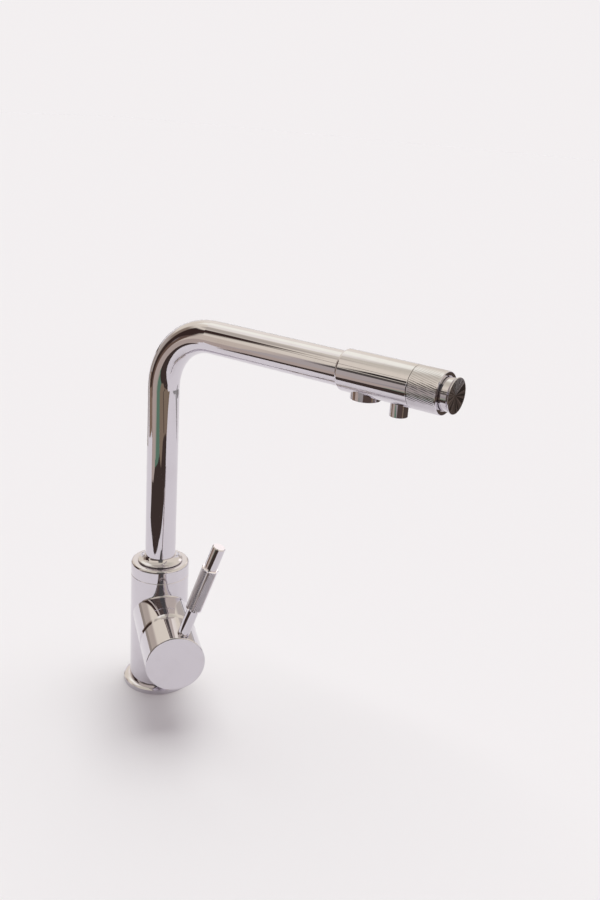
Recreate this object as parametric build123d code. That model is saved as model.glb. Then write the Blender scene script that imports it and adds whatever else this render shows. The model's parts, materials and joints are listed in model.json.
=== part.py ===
from build123d import *
import math
import os

# Three-way kitchen faucet: one side lever mixes hot and cold water, and a knob at the end of the
# spout opens a separate line of filtered water. Millimetres, +Z up. The origin is the middle of the
# foot on the worktop, the spout reaches along +X, and the lever's housing points towards -Y.

# Column
column_d = 48.0
column_seam = 101.5
bonnet_h = 11.5
column_edge = 2.2
foot_d = 58.0
foot_side = 3.6
foot_h = 5.2
foot_spigot_d = 40.0
gasket_r = 25.0
gasket_w = 3.0
gasket_h = 1.7

# Water connections in the underside
stud_d = 6.8
stud_depth = 18.0
port_d = 9.0
port_depth = 12.0
port_forward = 8.0
port_aside = 8.0
filter_port_back = 10.5
riser_d = 6.0

# Spout
tube_d = 25.0
tube_wall = 1.5
spout_h = 312.0
bend_r = 49.0
filter_tube_d = 8.0
filter_tube_wall = 1.0
filter_foot_below_lever = 13.5
spigot_d = 28.0
spigot_len = 21.5
spigot_neck_h = 10.0
spigot_bore_d = 17.0
swivel_stops = (-24.0, 126.0)
stop_screw_d = 4.0
stop_screw_below_seam = 13.5
collar_d = 37.0
collar_h = 5.0
collar_rim = 1.5

# Spout head, outlets and the knob
head_d = 29.5
head_before_outlet = 18.5
head_socket = 7.0
head_edge = 2.5
main_outlet_x = 184.5
main_outlet_d = 21.5
main_outlet_drop = 17.0
filter_outlet_past_main = 26.5
knob_past_main = 37.5
bulkhead_before_knob = 26.0
filter_outlet_d = 12.6
filter_outlet_drop = 23.0
knob_d = 29.5
knob_len = 22.0
knob_recess = 1.2
knob_groove = 0.6
knob_neck_d = 22.6
knob_end_d = 24.6
knob_end_len = 8.8
knob_disc_t = 2.6
knob_screw_len = 10.0
valve_window = 6.0
valve_nose_len = 14.0
valve_hex_h = 5.0
clip_opening = 60.0
valve_shut_turn = 90.0

# Lever housing and cap
housing_turn = -39.0
housing_below_seam = 34.0
housing_d = 46.0
saddle_fillet = 1.2
cap_start = 58.5
cap_len = 33.0
cap_wall = 1.6
cap_front = 3.2
cap_edge = 0.8
pivot_behind_cap = 11.0
stem_past_seam = 23.0
boss_past_seam = 7.5
dome_gap = 0.4
lever_tilt_max = 25.0
lever_turn = -16.5

# Lever pin
pin_place = 81.0
pin_lean = 8.0
pin_seat = 12.0
rod_d = 9.2
grip_d = 12.7
grip_from = 47.5
grip_to = 86.0
tip_d = 10.0
tip_to = 105.0
core_d = 6.0

# Ceramic cartridge of the mixer, measured from the column's axis along the housing
cartridge_d = 35.0
cartridge_floor = 21.0
cartridge_shoulder = 19.0
cartridge_neck_h = 6.0
port_plate_t = 4.2
disc_t = 4.0
moving_disc_t = 3.5
carrier_t = 7.0
rotor_flange_t = 3.0
rotor_d = 23.0
nut_h = 7.0
nut_slot = 4.0
tail_reach = 9.0
stem_side = 8.0
pivot_pin_d = 3.0

# Clearances
seam_gap = 0.3
run_gap = 0.08
slide_gap = 0.3
seat_gap = 0.1

# Places that follow from the sizes
column_top = column_seam + bonnet_h
housing_h = column_seam - housing_below_seam
filter_tube_foot = housing_h - filter_foot_below_lever
spigot_foot = column_seam - spigot_len
stop_screw_h = column_seam - stop_screw_below_seam
column_r = column_d / 2
housing_r = housing_d / 2
tube_r = tube_d / 2
tube_bore_r = tube_r - tube_wall
head_r = head_d / 2
pivot_at = cap_start - pivot_behind_cap
cap_bore_r = housing_r - cap_wall
dome_r = math.hypot(cap_bore_r, pivot_behind_cap) - dome_gap
dome_from = pivot_at + math.sqrt(dome_r**2 - housing_r**2)
cap_end = cap_start + cap_len
head_start = main_outlet_x - head_before_outlet
filter_outlet_x = main_outlet_x + filter_outlet_past_main
knob_seam = main_outlet_x + knob_past_main
knob_front = knob_seam + knob_len
knob_face = knob_front - knob_recess + knob_end_len

# Local frames: Z runs out of the housing or along the spout, and the lever's X follows its pin
housing_dir = Vector(1, 0, 0).rotate(Axis.Z, housing_turn)
lever_up = Vector(0, 0, 1).rotate(Axis((0, 0, 0), housing_dir), lever_turn)
along_housing = Plane((0, 0, housing_h), x_dir=(0, 0, 1), z_dir=housing_dir)
lever_plane = Plane((0, 0, housing_h), x_dir=lever_up, z_dir=housing_dir)
along_spout = Plane((0, 0, spout_h), x_dir=(0, 0, -1), z_dir=(1, 0, 0))
underside = Plane((0, 0, 0), x_dir=housing_dir, z_dir=(0, 0, 1))


def turned(*corners):
    """Solid of revolution about Z, from (radius, height) corners."""
    outline = Polyline(*[(r, 0, z) for r, z in corners], close=True)
    return revolve(make_face(outline), Axis.Z)


def tube(outer, inner, low, high):
    """Round tube about Z between two heights, from its two radii."""
    return turned((inner, low), (outer, low), (outer, high), (inner, high))


def rod(radius, low, high):
    """Round rod about Z between two heights."""
    return Pos(0, 0, low) * extrude(Circle(radius), high - low)


def bar(size_x, size_y, low, high):
    """Rectangular bar about Z between two heights."""
    return Pos(0, 0, low) * extrude(Rectangle(size_x, size_y), high - low)


def across(radius, length):
    """Round rod about the Y axis, centred."""
    return Rot(90, 0, 0) * extrude(Circle(radius), length / 2, both=True)


def o_ring(middle_r, section_r, height):
    """Rubber ring about Z."""
    return Pos(0, 0, height) * Torus(middle_r, section_r)


def sector(radius, low, high, start, sweep_deg):
    """Slice of a round bar about Z between two angles."""
    far_side = math.radians(sweep_deg)
    far_corner = (radius * math.cos(far_side), radius * math.sin(far_side))
    arc = CenterArc((0, 0), radius, 0, sweep_deg)
    wedge = make_face([Line((0, 0), (radius, 0)), arc, Line((0, 0), far_corner)])
    return Pos(0, 0, low) * (Rot(0, 0, start) * extrude(wedge, high - low))


def hex_socket(width, low, high):
    """Six-sided key hole about Z."""
    return Pos(0, 0, low) * extrude(RegularPolygon(width / 2, 6, major_radius=False), high - low)


parts = {}

# Foot: a polished ring under the column with a rubber gasket in its underside
groove_in = gasket_r - gasket_w / 2
groove_out = gasket_r + gasket_w / 2
foot_r = foot_d / 2
foot_shelf_r = column_r + 0.4
foot_outline = [
    Line((foot_spigot_d / 2 + seat_gap, 0), (foot_r, 0)),
    Line((foot_r, 0), (foot_r, foot_side)),
    ThreePointArc((foot_r, foot_side), (foot_r - 1.9, foot_h - 0.5), (foot_shelf_r, foot_h)),
    Line((foot_shelf_r, foot_h), (foot_spigot_d / 2 + seat_gap, foot_h)),
    Line((foot_spigot_d / 2 + seat_gap, foot_h), (foot_spigot_d / 2 + seat_gap, 0)),
]
foot_face = Plane.XZ * make_face(foot_outline)
foot_ring = revolve(foot_face, Axis.Z)
parts["base_ring"] = foot_ring - tube(groove_out, groove_in, -1, gasket_h + seat_gap)
parts["base_gasket"] = tube(groove_out, groove_in, 0, gasket_h)

# Stack of rings that carries the spout, from the column's counterbore upwards
washer_t = 1.2
flange_t = 3.0
counterbore_floor = column_seam - 5.5
flange_low = counterbore_floor + washer_t
flange_high = flange_low + flange_t
washer_high = flange_high + 1.0
collar_cap_low = washer_high + seat_gap
thread_r = column_r - 3.0
skirt_bore_r = thread_r - 3.0
bush_h = 5.0
spigot_r = spigot_d / 2
column_bore_r = spigot_r + run_gap

# Column with its lever housing, one casting
cartridge_r = cartridge_d / 2
cartridge_bore_r = cartridge_r + 0.2
nut_r = cartridge_r + 2.9
shoulder_at = cartridge_floor + cartridge_shoulder
bore_shoulder = shoulder_at - 0.5
shell = rod(column_r, foot_h, column_seam)
shell += along_housing * rod(housing_r, 0, dome_from)
saddle = [e for e in shell.edges() if e.geom_type not in (GeomType.CIRCLE, GeomType.LINE)]
shell = fillet(saddle, saddle_fillet)
shell = chamfer(shell.edges().filter_by(GeomType.CIRCLE).sort_by(Axis.Z)[-1], 0.25)
shell += rod(foot_spigot_d / 2, 0, foot_h)

sump_r = 6.5
sump_floor = filter_tube_foot + 6.0
inlet_up = 6.5
outlet_down = 5.0
riser_top = housing_h + inlet_up + riser_d / 2 - 0.5
shell -= rod(column_bore_r, spigot_foot - 1, column_seam + 1)
shell -= rod(thread_r, counterbore_floor, column_seam + 1)
shell -= rod(sump_r, sump_floor, spigot_foot)
shell -= along_housing * rod(cartridge_bore_r, cartridge_floor, dome_from + 1)
shell -= along_housing * rod(nut_r + seat_gap, bore_shoulder, dome_from + 1)

# Hot and cold rise to the cartridge's two inlets, and mixed water leaves it for the sump
for side in (-1, 1):
    inlet = underside * Pos(port_forward, side * port_aside, 0)
    shell -= inlet * rod(port_d / 2, -1, port_depth)
    shell -= inlet * rod(riser_d / 2, 0, riser_top)
    feed = along_housing * Pos(inlet_up, side * 6.5, 0)
    shell -= feed * rod(2.5, port_forward, cartridge_floor + 1)
shell -= along_housing * Pos(-outlet_down, 0, 0) * rod(3.2, 0, cartridge_floor + 1)

# Filtered water keeps to a line of its own, into the foot of the inner tube
filter_cross = filter_tube_foot - 4.0
filter_port = underside * Pos(-filter_port_back, 0, 0)
shell -= filter_port * rod(port_d / 2, -1, port_depth)
shell -= filter_port * rod(riser_d / 2, 0, filter_cross + riser_d / 2)
cross_plane = Plane((0, 0, filter_cross), z_dir=housing_dir)
shell -= cross_plane * rod(2.5, -filter_port_back, 0)
filter_tube_r = filter_tube_d / 2
shell -= rod(filter_tube_r - filter_tube_wall, filter_cross - 2, filter_tube_foot)
shell -= rod(filter_tube_r + run_gap, filter_tube_foot - seam_gap, sump_floor + 1)
gland_at = (filter_tube_foot + sump_floor) / 2
shell -= tube(filter_tube_r + 1.9, filter_tube_r, gland_at - 1.1, gland_at + 1.1)
shell -= rod(stud_d / 2, -1, stud_depth)

# Stop screw at the back of the column
back_plane = Plane((0, 0, stop_screw_h), z_dir=-housing_dir)
shell -= back_plane * rod(stop_screw_d / 2, column_bore_r - 1, column_r + 1)
parts["faucet_body"] = shell
parts["filter_tube_oring"] = o_ring(filter_tube_r + 0.95, 0.9, gland_at)
stop_tip_r = 1.5
stop_tip_at = spigot_r - 1.8
stop_thread = rod(stop_screw_d / 2, column_bore_r + 0.3, column_r - 0.8)
stop_screw = stop_thread + rod(stop_tip_r, stop_tip_at, column_bore_r + 0.3)
parts["swivel_stop_screw"] = back_plane * (stop_screw - hex_socket(2.0, column_r - 3.3, column_r))

# Bonnet ring screwed into the column over the spout's flange
bonnet = turned(
    (tube_r + 0.4, collar_cap_low),
    (skirt_bore_r, collar_cap_low),
    (skirt_bore_r, counterbore_floor + seat_gap),
    (thread_r - seat_gap, counterbore_floor + seat_gap),
    (thread_r - seat_gap, column_seam),
    (column_r, column_seam),
    (column_r, column_top),
    (tube_r + 2.0, column_top),
    (tube_r + 2.0, column_top - bush_h),
    (tube_r + 0.4, column_top - bush_h),
)
outer_rims = bonnet.edges().filter_by(GeomType.CIRCLE).filter_by(lambda e: abs(e.radius - column_r) < 0.01)
bonnet = fillet(outer_rims.sort_by(Axis.Z)[-1], column_edge)
outer_rims = bonnet.edges().filter_by(GeomType.CIRCLE).filter_by(lambda e: abs(e.radius - column_r) < 0.01)
parts["collar_cap"] = chamfer(outer_rims.sort_by(Axis.Z)[0], 0.25)
parts["spout_bush"] = tube(tube_r + 2.0, tube_r + run_gap, column_top - bush_h, column_top - seat_gap)
parts["lower_thrust_washer"] = tube(skirt_bore_r - seam_gap, spigot_r + 0.2, counterbore_floor, flange_low)
parts["upper_thrust_washer"] = tube(skirt_bore_r - seam_gap, tube_r + 0.3, flange_high, washer_high)

# Spout spigot with two ring grooves and the arc that the stop screw runs in
ring_section = 1.1
ring_heights = (spigot_foot + 3.0, counterbore_floor - 2.6)
ring_groove_r = spigot_r - 2 * ring_section
spigot = rod(spigot_r, spigot_foot, flange_low)
spigot += rod(skirt_bore_r - seam_gap, flange_low, flange_high)
spigot += rod(tube_bore_r, flange_high, flange_high + spigot_neck_h)
spigot -= rod(spigot_bore_d / 2, spigot_foot - 1, flange_high + spigot_neck_h + 1)
for height in ring_heights:
    spigot -= tube(spigot_r + 1, ring_groove_r, height - 1.3, height + 1.3)
stop_margin = math.degrees(math.asin((stop_tip_r + 0.15) / stop_tip_at))
stop_side = housing_turn + 180
arc_start = stop_side - swivel_stops[1] - stop_margin
arc_sweep = swivel_stops[1] - swivel_stops[0] + 2 * stop_margin
stop_low = stop_screw_h - stop_tip_r - 0.15
stop_high = stop_screw_h + stop_tip_r + 0.15
stop_arc = sector(spigot_r + 1, stop_low, stop_high, arc_start, arc_sweep)
stop_arc -= rod(stop_tip_at - seam_gap, stop_low - 1, stop_high + 1)
parts["spout_spigot"] = spigot - stop_arc
ring_middle_r = spigot_r + 0.04 - ring_section
parts["spout_orings"] = Compound([o_ring(ring_middle_r, ring_section, h) for h in ring_heights])


def bent(radius, low, reach):
    """Round bar along the spout's line, from a height in the column to a distance out."""
    bend_foot = (0, 0, spout_h - bend_r)
    bend_middle = (bend_r * (1 - math.cos(math.pi / 4)), 0, spout_h - bend_r * (1 - math.sin(math.pi / 4)))
    bend_end = (bend_r, 0, spout_h)
    rise = Line((0, 0, low), bend_foot)
    turn = ThreePointArc(bend_foot, bend_middle, bend_end)
    run = Line(bend_end, (reach, 0, spout_h))
    return sweep(Plane((0, 0, low)) * Circle(radius), path=Wire([rise, turn, run]))


# Bent spout tube, the filtered water's tube inside it, and the flared collar at its foot
tube_end = head_start + head_socket
parts["spout_tube"] = bent(tube_r, flange_high, tube_end) - bent(tube_bore_r, flange_high, tube_end)
bulkhead = knob_seam - bulkhead_before_knob
valve_floor = bulkhead + 4.0
inner_tube = bent(filter_tube_r, filter_tube_foot, valve_floor)
inner_tube -= bent(filter_tube_r - filter_tube_wall, filter_tube_foot, valve_floor)
parts["filter_tube"] = inner_tube

collar_low = column_top + seam_gap
collar_r = collar_d / 2
collar_outline = [
    Line((tube_r, collar_low), (collar_r - 0.6, collar_low)),
    ThreePointArc(
        (collar_r - 0.6, collar_low),
        (collar_r, collar_low + 0.6),
        (collar_r - 0.5, collar_low + 1.2),
    ),
    Line((collar_r - 0.5, collar_low + 1.2), (collar_r - 1.2, collar_low + collar_rim)),
    ThreePointArc(
        (collar_r - 1.2, collar_low + collar_rim),
        (tube_r + 2.6, collar_low + 2.6),
        (tube_r + 0.7, collar_low + collar_h),
    ),
    Line((tube_r + 0.7, collar_low + collar_h), (tube_r, collar_low + collar_h)),
    Line((tube_r, collar_low + collar_h), (tube_r, collar_low)),
]
parts["spout_collar"] = revolve(Plane.XZ * make_face(collar_outline), Axis.Z)

# Spout head: a turned shell with a wall between the mixed water and the filter valve
chamber_r = tube_r - 0.5
valve_bore_r = head_r - 3.25
thread_bore_r = valve_bore_r + 0.4
thread_from = knob_seam - 4.2
head = rod(head_r, head_start, knob_seam)
head = fillet(head.edges().filter_by(GeomType.CIRCLE).sort_by(Axis.Z)[0], head_edge)
head = chamfer(head.edges().filter_by(GeomType.CIRCLE).sort_by(Axis.Z)[-1], 0.2)
head -= rod(tube_r, head_start - 1, tube_end)
head -= rod(chamber_r, tube_end - 1, bulkhead)
head -= rod(filter_tube_r, bulkhead - 1, valve_floor + 1)
head -= rod(valve_bore_r, valve_floor, thread_from)
head -= rod(thread_bore_r, thread_from - 1, knob_seam + 1)


def drop(x):
    """Place on the spout's axis with its own Z pointing straight down."""
    return Plane((x, 0, spout_h), z_dir=(0, 0, -1))


main_outlet_r = main_outlet_d / 2
filter_outlet_r = filter_outlet_d / 2
head = along_spout * head
head -= drop(main_outlet_x) * rod(main_outlet_r, 2, head_r + 1)
head -= drop(filter_outlet_x) * rod(filter_outlet_r, 2, head_r + 1)
parts["spout_head"] = head

# Main outlet: a short nozzle with an aerator, its screen and its seal
nozzle_top = 6.0
aerator_r = main_outlet_r - 1.5
seal_at = 9.5
nozzle = tube(main_outlet_r, aerator_r, nozzle_top, main_outlet_drop)
nozzle += tube(main_outlet_r, aerator_r - 1.8, nozzle_top, seal_at)
nozzle_rim = nozzle.edges().filter_by(GeomType.CIRCLE).sort_by(Axis.Z)[-2:]
parts["main_nozzle"] = drop(main_outlet_x) * chamfer(nozzle_rim, 0.3)
parts["aerator_seal"] = drop(main_outlet_x) * tube(aerator_r - 0.1, aerator_r - 1.8, seal_at, seal_at + 1.2)
insert_low = seal_at + 1.2
insert_high = main_outlet_drop - 1.2
insert = rod(aerator_r - 0.1, insert_low, insert_high)
insert -= rod(aerator_r - 1.3, insert_low - 1, insert_high - 1.5)
spray_holes = HexLocations(1.3, 4, 4)
for place in spray_holes:
    insert -= place * rod(0.8, insert_high - 2, insert_high + 1)
parts["aerator_insert"] = drop(main_outlet_x) * insert
screen = tube(aerator_r - 1.5, 1.0, insert_low + 0.4, insert_low + 1.0)
for turn in range(6):
    screen -= Rot(0, 0, 60 * turn) * Pos(4.3, 0, 0) * rod(1.4, insert_low, insert_low + 2)
parts["aerator_screen"] = drop(main_outlet_x) * screen

# Filtered water's outlet with a small flow straightener
filter_nozzle_top = 10.0
filter_bore_r = filter_outlet_r - 1.6
filter_nozzle = tube(filter_outlet_r, filter_bore_r, filter_nozzle_top, filter_outlet_drop)
filter_rim = filter_nozzle.edges().filter_by(GeomType.CIRCLE).sort_by(Axis.Z)[-2:]
parts["filter_nozzle"] = drop(filter_outlet_x) * chamfer(filter_rim, 0.3)
straightener = rod(filter_bore_r, filter_outlet_drop - 6.0, filter_outlet_drop - 1.5)
straight_hole = rod(0.9, filter_outlet_drop - 7, filter_outlet_drop)
for turn in range(6):
    straightener -= Rot(0, 0, 60 * turn) * Pos(2.9, 0, 0) * straight_hole
straightener -= straight_hole
parts["flow_straightener"] = drop(filter_outlet_x) * straightener

# Quarter-turn filter valve: seal, fixed disc, moving disc and spindle in a screwed body
valve_r = 9.5
valve_bore = 7.4
seal_t = 2.2
valve_disc_t = 3.0
spindle_r = 4.0
fixed_from = valve_floor + seal_t
moving_from = fixed_from + valve_disc_t
spindle_from = moving_from + valve_disc_t
spindle_flange_t = 3.0
valve_nose = valve_floor + valve_nose_len
hex_high = knob_seam + valve_hex_h
key_across = 19.0
port_angle = 80.0
port_start = 45.0 - port_angle / 2


def two_ports(thing, start, low, high):
    """Cut two opposite sector openings through a disc."""
    for turn in (0, 180):
        opening = sector(valve_bore - 1.4, low - 1, high + 1, start + turn, port_angle)
        thing -= opening - rod(1.5, low - 2, high + 2)
    return thing


valve = rod(valve_r, valve_floor + 0.6, thread_from)
valve += rod(thread_bore_r - seat_gap, thread_from, knob_seam)
valve += hex_socket(key_across, knob_seam, hex_high)
valve -= rod(valve_bore, valve_floor, valve_nose)
valve -= rod(spindle_r + run_gap, valve_floor, hex_high + 1)
window_low = spindle_from + 0.3
for turn in (0, 90):
    window = Rot(0, 0, turn) * Box(2 * valve_r + 2, valve_window, valve_nose - 0.5 - window_low)
    valve -= Pos(0, 0, (window_low + valve_nose - 0.5) / 2) * window
parts["valve_body"] = along_spout * valve
parts["valve_seal"] = along_spout * tube(valve_bore - 0.3, filter_tube_r - 0.8, valve_floor, fixed_from)
fixed_valve_disc = rod(valve_bore - seat_gap, fixed_from, moving_from)
fixed_valve_disc = two_ports(fixed_valve_disc, port_start, fixed_from, moving_from)
parts["valve_fixed_disc"] = along_spout * fixed_valve_disc
moving_valve_disc = rod(valve_bore - 0.4, moving_from, spindle_from)
moving_start = port_start + valve_shut_turn
moving_valve_disc = two_ports(moving_valve_disc, moving_start, moving_from, spindle_from)
parts["valve_moving_disc"] = along_spout * moving_valve_disc

web_t = 3.0
web_high = knob_front - knob_recess
web_low = web_high - web_t
square_from = hex_high + 3.0
square_side = 6.0
spindle = rod(valve_bore - 0.4, spindle_from, spindle_from + spindle_flange_t)
spindle = two_ports(spindle, moving_start, spindle_from, spindle_from + spindle_flange_t)
spindle += rod(spindle_r, spindle_from + spindle_flange_t, square_from)
spindle += bar(square_side, square_side, square_from, web_high - seat_gap)
spindle -= rod(2.0, web_high - knob_screw_len - 2, web_high + 1)
ring_at = knob_seam - 2.0
spindle -= tube(spindle_r + 1, spindle_r - 1.3, ring_at - 0.9, ring_at + 0.9)
clip_at = hex_high + 0.4
spindle -= tube(spindle_r + 1, spindle_r - 0.8, clip_at, clip_at + 0.9)
parts["valve_spindle"] = along_spout * spindle
parts["spindle_oring"] = along_spout * o_ring(spindle_r - 0.62, 0.65, ring_at)
clip = tube(spindle_r + 1.6, spindle_r - 0.78, clip_at + 0.05, clip_at + 0.85)
clip -= sector(spindle_r + 3, clip_at - 1, clip_at + 2, -clip_opening / 2, clip_opening)
parts["spindle_clip"] = along_spout * clip

# Knob: knurled ring on the spindle's square, a screw, and the dished end cap over it
knob_r = knob_d / 2
knob = rod(knob_r, knob_seam + seam_gap, knob_front)
knob = fillet(knob.edges().filter_by(GeomType.CIRCLE).sort_by(Axis.Z)[-1], 0.5)
knob = chamfer(knob.edges().filter_by(GeomType.CIRCLE).sort_by(Axis.Z)[0], 0.2)
knob -= rod(knob_r - 1.9, knob_seam, web_low)
knob -= rod(knob_neck_d / 2 + knob_groove, web_high, knob_front + 1)
knob += rod(7.0, square_from + 0.5, web_low)
knob -= bar(square_side + 0.1, square_side + 0.1, square_from, web_high + 1)
parts["knob_ring"] = along_spout * knob
screw = rod(2.0, web_high - knob_screw_len, web_high) + rod(3.8, web_high, web_high + 2.4)
parts["knob_screw"] = along_spout * (screw - hex_socket(2.5, web_high + 0.8, web_high + 3))
disc_from = knob_face - knob_disc_t
cap_outline = turned(
    (0, disc_from),
    (knob_neck_d / 2 - 1.8, disc_from),
    (knob_neck_d / 2 - 1.8, web_high),
    (knob_neck_d / 2, web_high),
    (knob_neck_d / 2, disc_from - 0.6),
    (knob_end_d / 2 - 0.3, disc_from),
    (knob_end_d / 2, disc_from + 0.4),
    (knob_end_d / 2, knob_face - 0.3),
    (knob_end_d / 2 - 0.5, knob_face),
    (knob_end_d / 2 - 1.0, knob_face - 0.1),
    (0, knob_face - 0.9),
)
parts["knob_end_cap"] = along_spout * cap_outline

# Mixer cartridge: port plate, ceramic discs, carrier and rotor in a plastic housing
plate_from = cartridge_floor + seam_gap
plate_to = plate_from + port_plate_t
moving_from_s = plate_to + disc_t
carrier_from = moving_from_s + moving_disc_t
carrier_to = carrier_from + carrier_t
rotor_from = carrier_to + 0.2
rotor_neck_from = rotor_from + rotor_flange_t
neck_r = cartridge_r - 1.5
cavity_r = cartridge_r - 2.3
flange_r = neck_r - 2.4
rotor_r = rotor_d / 2
neck_high = shoulder_at + cartridge_neck_h
disc_travel = tail_reach * math.radians(lever_tilt_max)
moving_r = cavity_r - disc_travel - 0.7


def through_ports(thing, low, high, grow):
    """Cut the two inlets and the outlet through a plate of the cartridge."""
    for side in (-1, 1):
        thing -= Pos(inlet_up, side * 6.5, 0) * rod(2.3 + grow, low, high)
    return thing - Pos(-outlet_down, 0, 0) * rod(3.2 + grow, low, high)


plate = rod(cartridge_r, plate_from, plate_to)
plate = through_ports(plate, plate_from - 1, plate_to + 1, 0)
plate = through_ports(plate, plate_from - 1, plate_from + 1.0, 1.5)
parts["cartridge_base"] = along_housing * plate
seals = []
for up, side, bore in ((inlet_up, -6.5, 2.3), (inlet_up, 6.5, 2.3), (-outlet_down, 0, 3.2)):
    seals.append(along_housing * Pos(up, side, 0) * tube(bore + 1.4, bore, cartridge_floor, plate_from + 0.9))
parts["cartridge_seals"] = Compound(seals)
fixed = rod(cavity_r - 0.3, plate_to, moving_from_s)
parts["fixed_disc"] = along_housing * through_ports(fixed, plate_to - 1, moving_from_s + 1, 0)
moving = rod(moving_r, moving_from_s, carrier_from)
moving -= Pos(-3.0, 0, 0) * rod(5.4, moving_from_s - 1, moving_from_s + 2)
parts["moving_disc"] = lever_plane * moving

ball_r = 2.6
tail_r = 1.6
tail_at = pivot_at - tail_reach
carrier_step = shoulder_at - 2.3
carrier = rod(moving_r, carrier_from, carrier_step)
carrier += rod(flange_r - disc_travel - 0.3, carrier_step, carrier_to)
carrier -= rod(ball_r + 0.4, tail_at - ball_r - 0.8, carrier_to + 1)
parts["disc_carrier"] = lever_plane * carrier

can = rod(cartridge_r, plate_to, shoulder_at) + rod(neck_r, shoulder_at, neck_high)
can -= rod(cavity_r, plate_to - 1, shoulder_at - 1.8)
can -= rod(flange_r + 0.3, plate_to, rotor_neck_from + 0.2)
can -= rod(rotor_r + run_gap, plate_to, neck_high + 1)
parts["cartridge_housing"] = along_housing * can

rotor_high = pivot_at + 3.5
rotor = rod(flange_r, rotor_from, rotor_neck_from) + rod(rotor_r, rotor_neck_from, rotor_high)
slot = bar(rotor_d + 2, stem_side + 2 * slide_gap, rotor_neck_from, rotor_high + 1)
rotor -= slot
swing = tail_reach * math.sin(math.radians(lever_tilt_max))
window_out = swing + ball_r + 0.5
window_in = ball_r + 0.3
window = bar(window_out + window_in, 2 * ball_r + 0.8, rotor_from - 1, rotor_neck_from + 1)
rotor -= Pos((window_out - window_in) / 2, 0, 0) * window
pivot_place = Pos(0, 0, pivot_at)
rotor -= pivot_place * across(pivot_pin_d / 2, rotor_d + 2)
parts["stem_rotor"] = lever_plane * rotor
parts["stem_pivot_pin"] = lever_plane * pivot_place * across(pivot_pin_d / 2, rotor_d - 3)

# Lever stem: square bar, pivot eye, and a ball tail that pushes the carrier
stem_high = cap_start + stem_past_seam
stem = bar(stem_side, stem_side, pivot_at, stem_high)
stem += pivot_place * across(stem_side / 2, stem_side)
stem += rod(tail_r, tail_at, pivot_at)
stem += Pos(0, 0, tail_at) * Sphere(ball_r)
stem -= pivot_place * across(pivot_pin_d / 2 + 0.05, stem_side + 2)
parts["cartridge_stem"] = lever_plane * stem

# Ring nut that holds the cartridge down
nut_high = shoulder_at + nut_h
nut = tube(nut_r, neck_r + seam_gap, shoulder_at, nut_high)
for turn in range(6):
    nut -= Rot(0, 0, 60 * turn) * Pos(nut_r, 0, nut_high) * Box(2.5 * nut_slot, nut_slot, nut_slot)
parts["cartridge_nut"] = along_housing * nut

# Domed ring: a slice of a ball about the lever's pivot, so that the cap clears it as it tilts
dome_skin = 1.8
dome_to = cap_start + 3.0
dome_skirt_r = nut_r
dome_skirt_bore = nut_r - 1.8


def on_ball(radius, height):
    """Distance from the axis of a ball about the pivot, at a height."""
    return math.sqrt(radius**2 - (height - pivot_at) ** 2)


inner_ball = dome_r - dome_skin
skirt_top = pivot_at + math.sqrt(inner_ball**2 - dome_skirt_bore**2)
dome_mid = (dome_from + dome_to) / 2
inner_mid = (skirt_top + dome_to) / 2
dome_outline = [
    Line((dome_skirt_bore, nut_high + seam_gap), (dome_skirt_r, nut_high + seam_gap)),
    Line((dome_skirt_r, nut_high + seam_gap), (dome_skirt_r, dome_from)),
    Line((dome_skirt_r, dome_from), (housing_r, dome_from)),
    ThreePointArc(
        (housing_r, dome_from), (on_ball(dome_r, dome_mid), dome_mid), (on_ball(dome_r, dome_to), dome_to)
    ),
    Line((on_ball(dome_r, dome_to), dome_to), (on_ball(inner_ball, dome_to), dome_to)),
    ThreePointArc(
        (on_ball(inner_ball, dome_to), dome_to),
        (on_ball(inner_ball, inner_mid), inner_mid),
        (dome_skirt_bore, skirt_top),
    ),
    Line((dome_skirt_bore, skirt_top), (dome_skirt_bore, nut_high + seam_gap)),
]
parts["dome_ring"] = along_housing * revolve(Plane.XZ * make_face(dome_outline), Axis.Z)

# Cap over the dome, with a boss on the stem and a seat for the lever pin
boss_r = 9.0
boss_from = cap_start + boss_past_seam
cap_back = cap_end - cap_front
cap = rod(housing_r, cap_start, cap_end)
cap = fillet(cap.edges().filter_by(GeomType.CIRCLE).sort_by(Axis.Z)[-1], cap_edge)
cap -= rod(cap_bore_r, cap_start - 1, cap_back)
lean = math.radians(pin_lean)
pin_line = Plane((0, 0, pin_place), x_dir=(0, 1, 0), z_dir=(math.cos(lean), 0, math.sin(lean)))
seat_column = pin_line * rod(rod_d / 2 + 2.4, 0, cap_bore_r + 1)
cap += rod(boss_r, boss_from, cap_back + 1)
cap += seat_column & rod(housing_r - 0.5, cap_start, cap_end - 1)
cap -= bar(stem_side, stem_side, boss_from - 1, stem_high + 0.2)
cap -= pin_line * rod(rod_d / 2, pin_seat, housing_r + 4)
grub_place = Plane((0, 0, boss_from + 6.0), z_dir=(-1, 0, 0))
cap -= grub_place * rod(2.5, 0, housing_r + 1)
parts["handle_cap"] = lever_plane * cap
grub = rod(2.5, stem_side / 2, boss_r - 0.3) - hex_socket(2.5, boss_r - 2.6, boss_r)
parts["handle_grub_screw"] = lever_plane * (grub_place * grub)

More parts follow.
